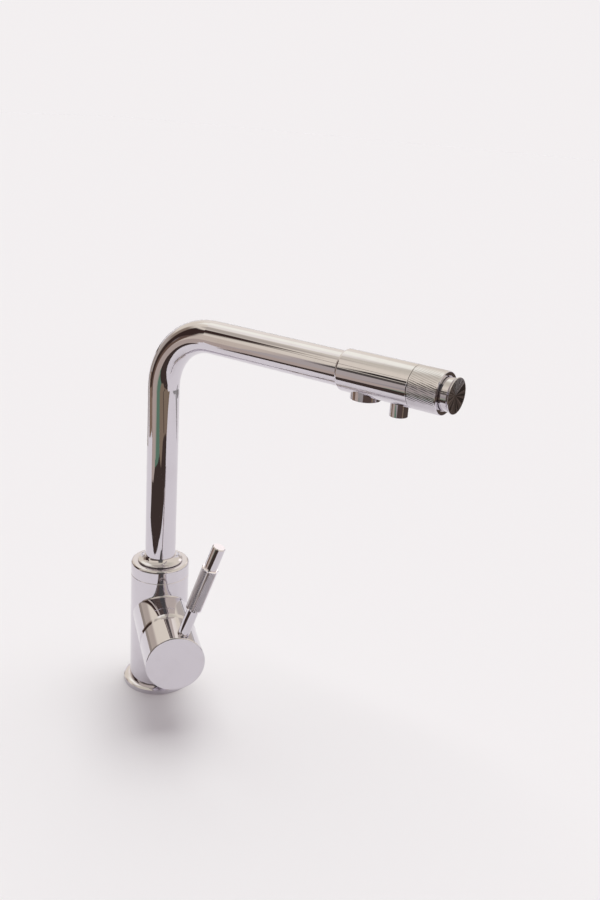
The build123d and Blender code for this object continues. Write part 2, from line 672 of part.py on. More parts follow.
# Lever pin: a rod through a knurled grip, closed by a smooth tip
core_to = tip_to - 6.0
lever = rod(rod_d / 2, pin_seat, grip_from) + rod(core_d / 2, grip_from, core_to)
parts["lever_rod"] = lever_plane * (pin_line * lever)
grip = tube(grip_d / 2, core_d / 2, grip_from, grip_to)
grip_rims = grip.edges().filter_by(GeomType.CIRCLE).filter_by(lambda e: e.radius > core_d)
parts["lever_grip"] = lever_plane * (pin_line * chamfer(grip_rims, 0.5))
tip = rod(tip_d / 2, grip_to, tip_to)
tip = chamfer(tip.edges().filter_by(GeomType.CIRCLE).sort_by(Axis.Z)[-1], 0.6)
parts["lever_tip"] = lever_plane * (pin_line * (tip - rod(core_d / 2, grip_to - 1, core_to)))

os.makedirs("parts", exist_ok=True)
for name, piece in parts.items():
    export_step(piece, f"parts/{name}.step")
print(len(parts), "nodes")
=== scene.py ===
import json
import math

import bmesh
import bpy
from bpy.props import FloatProperty, FloatVectorProperty, IntProperty, PointerProperty
from bpy.types import Operator, Panel, PropertyGroup
from mathutils import Matrix, Vector


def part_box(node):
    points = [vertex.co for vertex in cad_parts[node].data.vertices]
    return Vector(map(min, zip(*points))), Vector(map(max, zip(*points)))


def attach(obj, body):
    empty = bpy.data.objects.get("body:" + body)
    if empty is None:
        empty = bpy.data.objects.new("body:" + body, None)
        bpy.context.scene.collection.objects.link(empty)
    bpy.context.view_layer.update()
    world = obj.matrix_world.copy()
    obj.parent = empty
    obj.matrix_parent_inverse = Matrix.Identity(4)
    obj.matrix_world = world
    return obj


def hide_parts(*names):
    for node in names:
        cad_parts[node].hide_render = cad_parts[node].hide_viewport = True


bl_info = {
    "name": "Three-way kitchen faucet",
    "version": (1, 0, 0),
    "blender": (4, 5, 0),
    "location": "View3D > Sidebar > Faucet",
    "description": "Finishes and fine details of a chrome mixer with a side lever and an end knob",
    "category": "Object",
}

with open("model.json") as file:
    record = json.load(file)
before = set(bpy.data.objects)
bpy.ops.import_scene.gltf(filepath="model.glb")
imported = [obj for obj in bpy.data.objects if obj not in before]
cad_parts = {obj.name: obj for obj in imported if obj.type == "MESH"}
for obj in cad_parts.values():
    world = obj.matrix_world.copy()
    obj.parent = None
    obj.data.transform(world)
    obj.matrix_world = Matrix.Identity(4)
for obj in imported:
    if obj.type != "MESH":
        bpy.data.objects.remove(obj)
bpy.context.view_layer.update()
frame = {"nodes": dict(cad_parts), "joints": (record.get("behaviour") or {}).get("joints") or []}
NODES = frame["nodes"]
JOINTS = {joint["name"]: joint for joint in frame["joints"]}


def between(low, high, share):
    """Value at a share of the way from low to high."""
    return low + (high - low) * share


def turned_radius(box):
    """Radius of a piece that is turned about X, from its box."""
    return (box[1].z - box[0].z) / 2


# Places taken from the frame
RING_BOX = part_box("knob_ring")
RING_R = turned_radius(RING_BOX)
CAP_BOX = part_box("knob_end_cap")
CAP_R = turned_radius(CAP_BOX)
HEAD_AXIS_H = between(RING_BOX[0].z, RING_BOX[1].z, 0.5)
# Lays a form that is made about Z along the axis of the spout's head
ON_HEAD_AXIS = Matrix.Translation((0, 0, HEAD_AXIS_H)) @ Matrix.Rotation(math.pi / 2, 4, "Y")
HOUSING_AXIS = JOINTS["lever_temperature"]["axis"]
HOUSING_TURN = math.atan2(HOUSING_AXIS[1], HOUSING_AXIS[0])
HOUSING_H = JOINTS["lever_temperature"]["pos_m"][2]

# Clean plating, which its settings and its surface group start from
PLATING_TINT = (0.66, 0.63, 0.675)
PLATING_POLISH = 0.035
PLATING_HAZE = 0.07
# Depth of the finest polishing swirls
SWIRL_DEPTH = 0.0000004
# Painted shade laid into the grooves of a knurl, and the attribute that says how deep a point lies in
# one
GROOVE_SHADE = (0.05, 0.045, 0.04, 1)
SUNK = "sunk"
# Turn of a surface, in degrees, that shows as an edge on a knurled piece and on the end cap
KNURL_SHARP = 8.0
CAP_SHARP = 24.0


# Settings


class FaucetChrome(PropertyGroup):
    """Finish of the plated pieces"""

    tint: FloatVectorProperty(
        name="Tint",
        description="Colour of the plating seen straight on",
        subtype="COLOR",
        min=0,
        max=1,
        default=PLATING_TINT,
    )
    polish: FloatProperty(
        name="Polish roughness",
        description="Roughness of clean plating",
        subtype="FACTOR",
        min=0,
        max=1,
        default=PLATING_POLISH,
    )
    haze: FloatProperty(
        name="Haze",
        description="Roughness that wiping and water marks add",
        subtype="FACTOR",
        min=0,
        max=1,
        default=PLATING_HAZE,
    )
    wave: FloatProperty(
        name="Casting wave",
        description="Height of the slow waves under the plating of cast pieces",
        unit="LENGTH",
        min=0,
        max=0.001,
        precision=6,
        default=0.000012,
    )


class FaucetKnurl(PropertyGroup):
    """Knurl of the lever's grip and flutes of the knob's ring"""

    grip_round: IntProperty(
        name="Grip diamonds", description="Diamonds round the grip", min=8, default=22
    )
    grip_along: IntProperty(
        name="Grip rows", description="Diamonds along the grip", min=4, default=20
    )
    grip_depth: FloatProperty(
        name="Grip depth",
        description="Depth of the grip's grooves",
        unit="LENGTH",
        precision=5,
        default=0.00045,
    )
    ring_round: IntProperty(
        name="Ring flutes", description="Fine flutes round the ring", min=8, default=60
    )
    ring_twist: FloatProperty(
        name="Ring twist",
        description="Pitches that each flute turns over from end to end",
        min=1,
        default=3,
    )
    ring_depth: FloatProperty(
        name="Ring depth",
        description="Depth of the ring's flutes",
        unit="LENGTH",
        precision=5,
        default=0.00007,
    )
    ring_width: FloatProperty(
        name="Flute width",
        description="Share of the pitch that a flute takes up",
        subtype="FACTOR",
        min=0.05,
        max=1,
        default=0.6,
    )


class FaucetLever(PropertyGroup):
    """Where the lever's pin stands on its cap, and the pin's grip"""

    turn: FloatProperty(
        name="Housing turn",
        description="Turn of the lever housing about the column",
        subtype="ANGLE",
        default=HOUSING_TURN,
    )
    height: FloatProperty(
        name="Housing height",
        description="Height of the lever housing's axis",
        unit="LENGTH",
        default=HOUSING_H,
    )
    roll: FloatProperty(
        name="Lever roll",
        description="Turn of the lever about the housing's axis",
        subtype="ANGLE",
        default=math.radians(-16.5),
    )
    place: FloatProperty(
        name="Pin place",
        description="Distance of the pin from the column's axis",
        unit="LENGTH",
        default=0.081,
    )
    lean: FloatProperty(
        name="Pin lean",
        description="Lean of the pin away from the column",
        subtype="ANGLE",
        default=math.radians(8.0),
    )
    grip_start: FloatProperty(
        name="Grip start",
        description="Start of the grip along the pin, from the housing's axis",
        unit="LENGTH",
        default=0.0475,
    )
    grip_end: FloatProperty(
        name="Grip end",
        description="End of the grip along the pin, from the housing's axis",
        unit="LENGTH",
        default=0.086,
    )
    grip_radius: FloatProperty(
        name="Grip radius",
        description="Outer radius of the grip",
        unit="LENGTH",
        precision=5,
        default=0.00635,
    )
    core_radius: FloatProperty(
        name="Core radius",
        description="Radius of the rod that the grip sits on",
        unit="LENGTH",
        precision=5,
        default=0.003,
    )


class FaucetStage(PropertyGroup):
    """Floor, backdrop, light and camera"""

    pale: FloatVectorProperty(
        name="Backdrop",
        description="Colour of floor and backdrop",
        subtype="COLOR",
        min=0,
        max=1,
        default=(0.896, 0.866, 0.874),
    )
    ambient: FloatVectorProperty(
        name="Room light",
        description="Colour and strength of the even light",
        subtype="COLOR",
        min=0,
        max=2,
        default=(0.28, 0.2464, 0.2674),
    )
    key: FloatVectorProperty(
        name="Window light",
        description="Colour of the soft lamp",
        subtype="COLOR",
        min=0,
        max=2,
        default=(0.955, 1.0, 0.972),
    )
    key_strength: FloatProperty(
        name="Window strength", description="Strength of the soft lamp", min=0, default=2.44
    )
    key_spread: FloatProperty(
        name="Window spread",
        description="Width of the soft lamp",
        subtype="ANGLE",
        default=math.radians(60),
    )
    key_turn: FloatProperty(
        name="Window turn",
        description="Direction of the soft lamp round the column, from the spout's",
        subtype="ANGLE",
        default=math.radians(105),
    )
    key_rise: FloatProperty(
        name="Window rise",
        description="Height of the soft lamp over the floor, as an angle",
        subtype="ANGLE",
        default=math.radians(76),
    )
    lens: FloatProperty(
        name="Lens", description="Focal length in millimetres", min=1, default=39.833
    )


# Helpers for nodes and objects


def feed(tree, value, socket):
    """Joins another node's socket to a socket, or sets the socket to a value."""
    if isinstance(value, bpy.types.NodeSocket):
        tree.links.new(value, socket)
    else:
        socket.default_value = value


def add(tree, kind, **values):
    """A new node with its settings and inputs. An input's name has underscores for its spaces."""
    node = tree.nodes.new(kind)
    for key, value in values.items():
        if hasattr(node, key):
            setattr(node, key, value)
        else:
            feed(tree, value, node.inputs[key.replace("_", " ")])
    return node


def maths(tree, operation, *values):
    """Result of a math node on sockets or numbers."""
    node = add(tree, "ShaderNodeMath", operation=operation)
    for socket, value in zip(node.inputs, values):
        feed(tree, value, socket)
    return node.outputs[0]


def ranged(tree, value, low, high, **settings):
    """Value's share of the way from low to high, held at its ends."""
    return add(
        tree, "ShaderNodeMapRange", Value=value, From_Min=low, From_Max=high, **settings
    ).outputs[0]


def noise(tree, place, **settings):
    """Noise over a place."""
    return add(tree, "ShaderNodeTexNoise", Vector=place, **settings).outputs[0]


def mixed(tree, share, first, second, blend="MIX"):
    """Two colours mixed by a share."""
    node = add(tree, "ShaderNodeMix", data_type="RGBA", blend_type=blend, Factor=share)
    # The node has sockets for every kind of value, so those for colours are picked out
    sockets = [socket for socket in node.inputs if socket.type == "RGBA"]
    for socket, colour in zip(sockets, (first, second)):
        feed(tree, colour, socket)
    return next(socket for socket in node.outputs if socket.type == "RGBA")


def mixed_shader(tree, share, first, second):
    """Two shaders mixed by a share."""
    node = tree.nodes.new("ShaderNodeMixShader")
    for socket, source in zip(node.inputs, (share, first, second)):
        feed(tree, source, socket)
    return node.outputs[0]


def own_place(tree):
    """Place of each point in the faucet's own frame."""
    return tree.nodes.new("ShaderNodeTexCoord").outputs["Object"]


def new_object(name, data):
    """An object in the scene, at the origin."""
    made = bpy.data.objects.new(name, data)
    bpy.context.scene.collection.objects.link(made)
    return made


# Surface groups, which give a material its Color, Roughness and Height


def surface_group(name, inputs):
    """An empty surface group, with its inputs' and its outputs' sockets."""
    group = bpy.data.node_groups.new(name, "ShaderNodeTree")
    for socket, default in inputs.items():
        kind = "NodeSocketColor" if isinstance(default, tuple) else "NodeSocketFloat"
        made = group.interface.new_socket(socket, in_out="INPUT", socket_type=kind)
        made.default_value = default
    for socket, kind in (("Color", "Color"), ("Roughness", "Float"), ("Height", "Float")):
        group.interface.new_socket(socket, in_out="OUTPUT", socket_type="NodeSocket" + kind)
    given = group.nodes.new("NodeGroupInput").outputs
    result = group.nodes.new("NodeGroupOutput").inputs
    return group, given, result


def polish_group():
    """Wiping haze, water spots and fine swirls of a polished metal surface."""
    name = "Polished surface"
    if name in bpy.data.node_groups:
        return bpy.data.node_groups[name]
    group, given, result = surface_group(
        name,
        {
            "Tint": (*PLATING_TINT, 1),
            "Clean": PLATING_POLISH,
            "Haze": PLATING_HAZE,
            "Grain": 60.0,
        },
    )
    place = own_place(group)
    # Haze lies in patches, and dried drops of water lie in the haze
    cloud = noise(group, place, Scale=given["Grain"], Detail=4.0, Roughness=0.6)
    patches = ranged(group, cloud, 0.5, 0.72)
    spots = add(group, "ShaderNodeTexVoronoi", Vector=place, Scale=190.0)
    drops = ranged(group, spots.outputs["Distance"], 0.10, 0.05)
    dried = maths(group, "MULTIPLY", drops, patches)
    marks = maths(group, "MAXIMUM", patches, maths(group, "MULTIPLY", dried, 1.6))
    # Swirls vary the haze's roughness and stand in low relief
    swirl = noise(group, place, Scale=2200.0, Detail=2.0)
    fine = maths(group, "MULTIPLY_ADD", swirl, 0.35, 0.8)
    rough = maths(group, "MULTIPLY", maths(group, "MULTIPLY", marks, given["Haze"]), fine)
    feed(group, maths(group, "ADD", rough, given["Clean"]), result["Roughness"])
    # Marks take a little of the plating's brightness
    dulled = (0.94, 0.93, 0.92, 1)
    half_marks = maths(group, "MULTIPLY", marks, 0.5)
    feed(group, mixed(group, half_marks, given["Tint"], dulled, "MULTIPLY"), result["Color"])
    feed(group, swirl, result["Height"])
    return group


def grain_group():
    """Even speckle and slow tone change of moulded, sintered and machined materials."""
    name = "Fine grain"
    if name in bpy.data.node_groups:
        return bpy.data.node_groups[name]
    group, given, result = surface_group(
        name,
        {
            "Base": (0.5, 0.5, 0.5, 1),
            "Worn": (0.6, 0.6, 0.6, 1),
            "Scale": 900.0,
            "Roughness": 0.5,
            "Spread": 0.15,
        },
    )
    place = own_place(group)
    grain = noise(group, place, Scale=given["Scale"], Detail=5.0, Roughness=0.65)
    slow = noise(group, place, Scale=45.0, Detail=3.0)
    tone = ranged(group, maths(group, "MULTIPLY", grain, slow), 0.12, 0.42)
    feed(group, mixed(group, tone, given["Base"], given["Worn"]), result["Color"])
    change = maths(group, "MULTIPLY", maths(group, "SUBTRACT", grain, 0.5), given["Spread"])
    feed(group, maths(group, "ADD", change, given["Roughness"]), result["Roughness"])
    feed(group, grain, result["Height"])
    return group


# Materials


def blank_material(name, kind="ShaderNodeBsdfPrincipled", **values):
    """A material with only its shader, set to the values, and its output."""
    material = bpy.data.materials.new(name)
    material.use_nodes = True
    tree = material.node_tree
    tree.nodes.clear()
    shader = add(tree, kind, **values)
    feed(tree, shader.outputs[0], tree.nodes.new("ShaderNodeOutputMaterial").inputs[0])
    return material, tree, shader


def surfaced(tree, shader, group, relief, **values):
    """Joins a surface group to a material's shader. Gives its colour and its Bump node."""
    node = add(tree, "ShaderNodeGroup", node_tree=group, **values)
    bump = add(
        tree, "ShaderNodeBump", Strength=1.0, Distance=relief, Height=node.outputs["Height"]
    )
    feed(tree, node.outputs["Color"], shader.inputs["Base Color"])
    feed(tree, node.outputs["Roughness"], shader.inputs["Roughness"])
    feed(tree, bump.outputs[0], shader.inputs["Normal"])
    return node.outputs["Color"], bump


def chrome(name, settings, clean=None, wave=0.0, grain=60.0, grooves=0.0, lift=1.0):
    """Bright plating. A cast piece has slow waves under it, and a knurled one painted shade in its
    grooves.
    """
    if name in bpy.data.materials:
        return bpy.data.materials[name]
    material, tree, shader = blank_material(name, Metallic=1.0, IOR=2.2)
    tint = (min(part * lift, 1.0) for part in settings.tint)
    colour, bump = surfaced(
        tree,
        shader,
        polish_group(),
        SWIRL_DEPTH,
        Tint=(*tint, 1),
        Clean=settings.polish if clean is None else clean,
        Haze=settings.haze,
        Grain=grain,
    )
    if grooves:
        # Painted shade: points deep in a knurl's grooves are darkened, more the deeper they lie
        sunk = add(tree, "ShaderNodeAttribute", attribute_name=SUNK).outputs["Fac"]
        groove_shade = maths(tree, "MULTIPLY", maths(tree, "POWER", sunk, 2), grooves)
        feed(tree, mixed(tree, groove_shade, colour, GROOVE_SHADE), shader.inputs["Base Color"])
    if wave:
        slow = noise(tree, own_place(tree), Scale=38.0, Detail=1.0)
        under = add(tree, "ShaderNodeBump", Strength=1.0, Distance=wave, Height=slow)
        feed(tree, under.outputs[0], bump.inputs["Normal"])
    return material


def spun_chrome(name, settings, centre, pitch, fan_radius):
    """Plating over fine rings that a lathe left about a line along X through the centre, with painted
    sheen and shade in fans inside a radius.
    """
    if name in bpy.data.materials:
        return bpy.data.materials[name]
    material, tree, shader = blank_material(name, Metallic=1.0)
    colour, bump = surfaced(
        tree,
        shader,
        polish_group(),
        SWIRL_DEPTH,
        Tint=(*settings.tint, 1),
        Clean=0.11,
        Haze=settings.haze,
        Grain=90.0,
    )
    moved = (0, -centre.y, -centre.z)
    centred = add(tree, "ShaderNodeMapping", Vector=own_place(tree), Location=moved)
    flat = add(tree, "ShaderNodeVectorMath", operation="MULTIPLY", Vector=centred.outputs[0])
    flat.inputs[1].default_value = (0, 1, 1)
    length = add(tree, "ShaderNodeVectorMath", operation="LENGTH", Vector=flat.outputs[0])
    away = length.outputs["Value"]
    # Rings of uneven depth, a pitch apart
    groove = maths(tree, "SINE", maths(tree, "MULTIPLY", away, math.tau / pitch))
    uneven = add(
        tree, "ShaderNodeTexNoise", noise_dimensions="1D", W=away, Scale=3800.0, Detail=2.0
    )
    height = maths(tree, "MULTIPLY", groove, uneven.outputs[0])
    rings = add(tree, "ShaderNodeBump", Strength=1.0, Distance=pitch * 0.03, Height=height)
    feed(tree, rings.outputs[0], bump.inputs["Normal"])
    # Painted sheen and shade: fans of lighter and darker colour about the centre, standing in for the
    # reflections that a spun dish shows
    _, y, z = add(tree, "ShaderNodeSeparateXYZ", Vector=flat.outputs[0]).outputs
    turn = maths(tree, "ARCTAN2", y, z)
    sine = maths(tree, "SINE", turn)
    cosine = maths(tree, "COSINE", turn)
    around = add(tree, "ShaderNodeCombineXYZ", X=sine, Y=cosine).outputs[0]
    fans = noise(tree, around, Scale=5.0, Detail=4.0, Roughness=0.75)
    painted_sheen = ranged(tree, fans, 0.42, 0.6, To_Min=0.18, To_Max=1.5)
    inside = maths(tree, "LESS_THAN", away, fan_radius)
    feed(tree, mixed(tree, inside, colour, painted_sheen, "MULTIPLY"), shader.inputs["Base Color"])
    return material


def grained(name, colour, worn, roughness, scale, spread, relief, **finish):
    """A material with a grain of its own. The finish sets its shader."""
    if name in bpy.data.materials:
        return bpy.data.materials[name]
    material, tree, shader = blank_material(name, **finish)
    surfaced(
        tree,
        shader,
        grain_group(),
        relief,
        Base=(*colour, 1),
        Worn=(*worn, 1),
        Scale=scale,
        Roughness=roughness,
        Spread=spread,
    )
    return material


def plain_metal(name, colour, worn, roughness):
    """Bare metal with a fine machined grain."""
    return grained(
        name, colour, worn, roughness, scale=700.0, spread=0.18, relief=0.000002, Metallic=1.0
    )


def moulded(name, colour, worn, roughness, scale=900.0, relief=0.000004, coat=0.0):
    """Plastic, rubber or ceramic."""
    return grained(
        name, colour, worn, roughness, scale=scale, spread=0.2, relief=relief, Coat_Weight=coat
    )


def wear(names, material):
    """Gives CAD nodes their material."""
    for name in names:
        node = NODES[name]
        node.data.materials.clear()
        node.data.materials.append(material)


# Turned and knurled forms


def knurl_tree():
    """Presses crossing or slanted grooves into the outer wall of a piece turned about Z."""
    name = "Knurl"
    if name in bpy.data.node_groups:
        return bpy.data.node_groups[name]
    tree = bpy.data.node_groups.new(name, "GeometryNodeTree")
    sockets = tree.interface
    sockets.new_socket("Geometry", in_out="OUTPUT", socket_type="NodeSocketGeometry")
    sockets.new_socket("Geometry", in_out="INPUT", socket_type="NodeSocketGeometry")
    for socket, default in (("Radius", 0.006), ("Start", 0.0), ("End", 0.04), ("Depth", 0.0003)):
        made = sockets.new_socket(socket, in_out="INPUT", socket_type="NodeSocketFloat")
        made.subtype = "DISTANCE"
        made.default_value = default
    # Share of the pitch that a groove takes up, grooves round the piece, pitches that one turns
    # over from start to end, and 1 where they cross or 0 where they only slant
    pattern = (
        ("Width", "NodeSocketFloat", 1.0),
        ("Round", "NodeSocketInt", 36),
        ("Along", "NodeSocketFloat", 24.0),
        ("Cross", "NodeSocketFloat", 1.0),
    )
    for socket, kind, default in pattern:
        made = sockets.new_socket(socket, in_out="INPUT", socket_type=kind)
        made.default_value = default
    sockets.new_socket("Material", in_out="INPUT", socket_type="NodeSocketMaterial")
    given = tree.nodes.new("NodeGroupInput").outputs
    position = tree.nodes.new("GeometryNodeInputPosition").outputs[0]
    x, y, z = add(tree, "ShaderNodeSeparateXYZ", Vector=position).outputs
    flat = add(tree, "ShaderNodeCombineXYZ", X=x, Y=y).outputs[0]
    length = add(tree, "ShaderNodeVectorMath", operation="LENGTH", Vector=flat)
    away = length.outputs["Value"]
    # Place of each point round and along the piece, counted in pitches
    turned = maths(tree, "DIVIDE", maths(tree, "ARCTAN2", y, x), math.tau)
    turns = maths(tree, "MULTIPLY", turned, given["Round"])
    height = maths(tree, "SUBTRACT", z, given["Start"])
    span = maths(tree, "SUBTRACT", given["End"], given["Start"])
    climbs = maths(tree, "MULTIPLY", maths(tree, "DIVIDE", height, span), given["Along"])
    # Distance from the grooves that rise and from those that fall
    rise = maths(tree, "PINGPONG", maths(tree, "ADD", turns, climbs), 0.5)
    fall = maths(tree, "PINGPONG", maths(tree, "SUBTRACT", turns, climbs), 0.5)
    # With no crossing, only the grooves that fall stay
    rise = maths(tree, "ADD", rise, maths(tree, "SUBTRACT", 1, given["Cross"]))
    nearest = maths(tree, "MULTIPLY", maths(tree, "MINIMUM", rise, fall), 2)
    ridge = maths(tree, "DIVIDE", nearest, given["Width"])
    depth = maths(tree, "SUBTRACT", 1, maths(tree, "MINIMUM", ridge, 1))
    # Only the outer wall between start and end is pressed
    slack = 0.00002
    outer = maths(tree, "GREATER_THAN", away, maths(tree, "SUBTRACT", given["Radius"], slack))
    above = maths(tree, "GREATER_THAN", z, maths(tree, "ADD", given["Start"], slack))
    below = maths(tree, "LESS_THAN", z, maths(tree, "SUBTRACT", given["End"], slack))
    wall = maths(tree, "MULTIPLY", maths(tree, "MULTIPLY", outer, above), below)
    sunk = maths(tree, "MULTIPLY", depth, wall)
    share = maths(tree, "DIVIDE", maths(tree, "MULTIPLY", sunk, given["Depth"]), away)
    inward = add(
        tree,
        "ShaderNodeVectorMath",
        operation="SCALE",
        Vector=flat,
        Scale=maths(tree, "MULTIPLY", share, -1),
    )
    # How deep each point lies is kept for the material's painted shade in the grooves
    kept = add(
        tree,
        "GeometryNodeStoreNamedAttribute",
        data_type="FLOAT",
        domain="POINT",
        Geometry=given["Geometry"],
        Name=SUNK,
        Value=sunk,
    )
    moved = add(
        tree, "GeometryNodeSetPosition", Geometry=kept.outputs[0], Offset=inward.outputs[0]
    )
    real = add(tree, "GeometryNodeRealizeInstances", Geometry=moved.outputs[0])
    dressed = add(
        tree, "GeometryNodeSetMaterial", Geometry=real.outputs[0], Material=given["Material"]
    )
    feed(tree, dressed.outputs[0], tree.nodes.new("NodeGroupOutput").inputs[0])
    return tree


def lathed(name, outline, columns, crossing=False):
    """Closed mesh turned about Z from a closed outline of radius and height pairs."""
    points = []
    for radius, height in outline:
        for column in range(columns):
            angle = math.tau * column / columns
            points.append((radius * math.cos(angle), radius * math.sin(angle), height))
    faces = []
    rows = len(outline)
    for row in range(rows):
        lower = row * columns
        upper = (row + 1) % rows * columns
        for column in range(columns):
            following = (column + 1) % columns
            a, b = lower + column, lower + following
            c, d = upper + following, upper + column
            # Each quad is cut along the diagonal that a groove follows
            if crossing and (row + column) % 2:
                faces += [(a, b, d), (b, c, d)]
            else:
                faces += [(a, b, c), (a, c, d)]
    mesh = bpy.data.meshes.new(name)
    mesh.from_pydata(points, [], faces)
    close_pole(mesh)
    outward(mesh)
    return mesh


def close_pole(mesh):
    """Joins the points that lie on the axis."""
    form = bmesh.new()
    form.from_mesh(mesh)
    bmesh.ops.remove_doubles(form, verts=form.verts, dist=0.0000001)
    form.to_mesh(mesh)
    form.free()


def outward(mesh):
    """Turns the faces of a closed mesh outwards."""
    volume = 0.0
    for face in mesh.polygons:
        first, second, third = (mesh.vertices[index].co for index in face.vertices[:3])
        volume += first.dot(second.cross(third))
    if volume < 0:
        mesh.flip_normals()


def settled(name, mesh, placement, sharp):
    """Object of a mesh at its place, smooth except where it turns by more than the sharp angle."""
    mesh.name = name
    mesh.transform(placement)
    mesh.shade_smooth()
    mesh.set_sharp_from_angle(angle=math.radians(sharp))
    return new_object(name, mesh)


def knurled(name, blank, values, placement):
    """Runs the knurl's tree on a blank and keeps its result as a plain object at its place."""
    tree = knurl_tree()
    seed = new_object(name + "_seed", blank)
    modifier = seed.modifiers.new("Nodes", "NODES")
    modifier.node_group = tree
    for item in tree.interface.items_tree:
        if item.in_out == "INPUT" and item.name in values:
            modifier[item.identifier] = values[item.name]
    bpy.context.view_layer.update()
    depsgraph = bpy.context.evaluated_depsgraph_get()
    mesh = bpy.data.meshes.new_from_object(seed.evaluated_get(depsgraph), depsgraph=depsgraph)
    bpy.data.objects.remove(seed)
    return settled(name, mesh, placement, KNURL_SHARP)


def lever_pin_frame(lever):
    """Matrix of the lever's pin: its Z runs up the pin from an origin on the housing's axis."""
    out = Vector((math.cos(lever.turn), math.sin(lever.turn), 0))
    up = Matrix.Rotation(lever.roll, 3, out) @ Vector((0, 0, 1))
    along = up * math.cos(lever.lean) + out * math.sin(lever.lean)
    side = up.cross(out).normalized()
    front = side.cross(along)
    turned = Matrix((front, side, along)).transposed().to_4x4()
    return Matrix.Translation(Vector((0, 0, lever.height)) + out * lever.place) @ turned


# Operators for the pieces


class FAUCET_OT_plating(Operator):
    """Plates the pieces that show"""

    bl_idname = "faucet.plating"
    bl_label = "Plated pieces"

    def execute(self, context):
        settings = context.scene.faucet_chrome
        cast = chrome("chrome_cast", settings, wave=settings.wave)
        turned = chrome("chrome_turned", settings, clean=0.03, grain=80.0)
        drawn = chrome("chrome_tube", settings, clean=0.028, wave=0.000006, grain=45.0)
        wear(["faucet_body", "collar_cap", "handle_cap"], cast)
        wear(["base_ring", "spout_collar", "dome_ring", "lever_rod", "lever_tip"], turned)
        wear(["main_nozzle", "filter_nozzle", "spout_head"], turned)
        wear(["spout_tube"], drawn)
        return {"FINISHED"}


class FAUCET_OT_inner_pieces(Operator):
    """Gives the cartridge, the valve and the seals their materials"""

    bl_idname = "faucet.inner_pieces"
    bl_label = "Inner pieces"

    def execute(self, context):
        brass = plain_metal("brass_turned", (0.78, 0.57, 0.27), (0.86, 0.66, 0.36), 0.26)
        steel = plain_metal("steel_bright", (0.56, 0.56, 0.57), (0.66, 0.66, 0.67), 0.3)
        rubber = moulded(
            "rubber_black", (0.018, 0.018, 0.019), (0.035, 0.034, 0.034), 0.62, relief=0.000006
        )
        ceramic = moulded(
            "ceramic_white", (0.86, 0.85, 0.82), (0.93, 0.92, 0.90), 0.16, scale=1600.0, coat=0.3
        )
        grey = moulded("plastic_grey", (0.40, 0.41, 0.42), (0.48, 0.49, 0.50), 0.42, scale=1200.0)
        white = moulded("plastic_white", (0.74, 0.74, 0.72), (0.82, 0.82, 0.80), 0.38, scale=1200.0)
        wear(["cartridge_nut", "cartridge_stem", "spout_spigot"], brass)
        wear(["valve_body", "valve_spindle"], brass)
        wear(["stem_pivot_pin", "handle_grub_screw", "swivel_stop_screw", "knob_screw"], steel)
        wear(["spindle_clip", "filter_tube", "aerator_screen"], steel)
        wear(["base_gasket", "filter_tube_oring", "spout_orings", "cartridge_seals"], rubber)
        wear(["aerator_seal", "valve_seal", "spindle_oring"], rubber)
        wear(["fixed_disc", "moving_disc", "valve_fixed_disc", "valve_moving_disc"], ceramic)
        wear(["cartridge_housing", "cartridge_base", "disc_carrier", "stem_rotor"], grey)
        wear(["spout_bush", "lower_thrust_washer", "upper_thrust_washer"], white)
        wear(["aerator_insert", "flow_straightener"], white)
        return {"FINISHED"}


class FAUCET_OT_lever_grip(Operator):
    """Cuts the diamond knurl of the lever's grip"""

    bl_idname = "faucet.lever_grip"
    bl_label = "Lever grip"

    def execute(self, context):
        scene = context.scene
        knurl = scene.faucet_knurl
        lever = scene.faucet_lever
        edge = 0.0005
        radius = lever.grip_radius
        start = lever.grip_start + edge
        end = lever.grip_end - edge
        rows = 2 * knurl.grip_along
        outline = [(lever.core_radius, lever.grip_start), (radius - edge, lever.grip_start)]
        outline += [(radius, between(start, end, row / rows)) for row in range(rows + 1)]
        outline += [(radius - edge, lever.grip_end), (lever.core_radius, lever.grip_end)]
        blank = lathed("grip_blank", outline, 2 * knurl.grip_round, crossing=True)
        # Knurled plating, with painted shade in its grooves
        plating = chrome(
            "chrome_knurled", scene.faucet_chrome, clean=0.07, grain=120.0, grooves=0.5, lift=1.4
        )
        values = {
            "Radius": radius,
            "Start": start,
            "End": end,
            "Depth": knurl.grip_depth,
            "Width": 1.0,
            "Round": knurl.grip_round,
            "Along": float(knurl.grip_along),
            "Cross": 1.0,
            "Material": plating,
        }
        grip = knurled("grip_knurled", blank, values, lever_pin_frame(lever))
        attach(grip, "lever")
        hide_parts("lever_grip")
        return {"FINISHED"}


